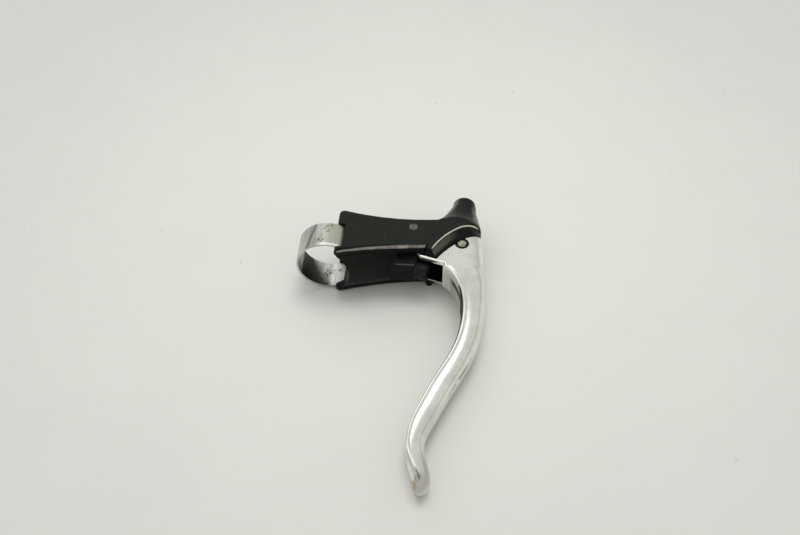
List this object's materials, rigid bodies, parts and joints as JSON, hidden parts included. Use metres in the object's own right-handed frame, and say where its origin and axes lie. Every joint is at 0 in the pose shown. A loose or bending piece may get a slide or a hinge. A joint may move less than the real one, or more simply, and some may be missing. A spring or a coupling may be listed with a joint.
{
  "type": "bicycle brake lever",
  "caption": "Drop-bar brake lever: black clamp-on body with a horn for the cable, slack steel band, and a polished S-curved blade that pivots in the body's mouth.",
  "frame": {"origin": "on the handlebar's axis, at the middle of the clamp band", "axes": "+X forward from the handlebar to the nose, +Y along the handlebar toward the horn's tip, +Z along the lever's pivot pin, square to the symmetry plane"},
  "size_m": [0.0863, 0.1601, 0.0286],
  "materials": {
    "enamel": "worn satin black enamel on an aluminium casting",
    "polished_alloy": "polished",
    "band_steel": "bright plated steel with rust pits",
    "steel": "dull plated steel",
    "black_steel": "black oxide"
  },
  "bodies": {
    "bracket": {"body": "enamel", "clamp_band": "band_steel", "pivot_pin": "steel", "clamp_bolt": "black_steel", "bolt_washer": "black_steel", "clamp_nut": "steel"},
    "lever": {"lever_blade": "polished_alloy"},
    "anchor": {"cable_anchor": "steel"}
  },
  "joints": [
    {"name": "lever_pull", "type": "hinge", "parent": "bracket", "child": "lever", "pos_m": [0.0394, 0.009, 0], "axis": [0, 0, -1], "range_deg": [0, 24]},
    {"name": "anchor_swivel", "type": "hinge", "parent": "lever", "child": "anchor", "pos_m": [0.0618, 0.0048, 0], "axis": [0, 0, 1], "range_deg": [-30, 30]}
  ]
}
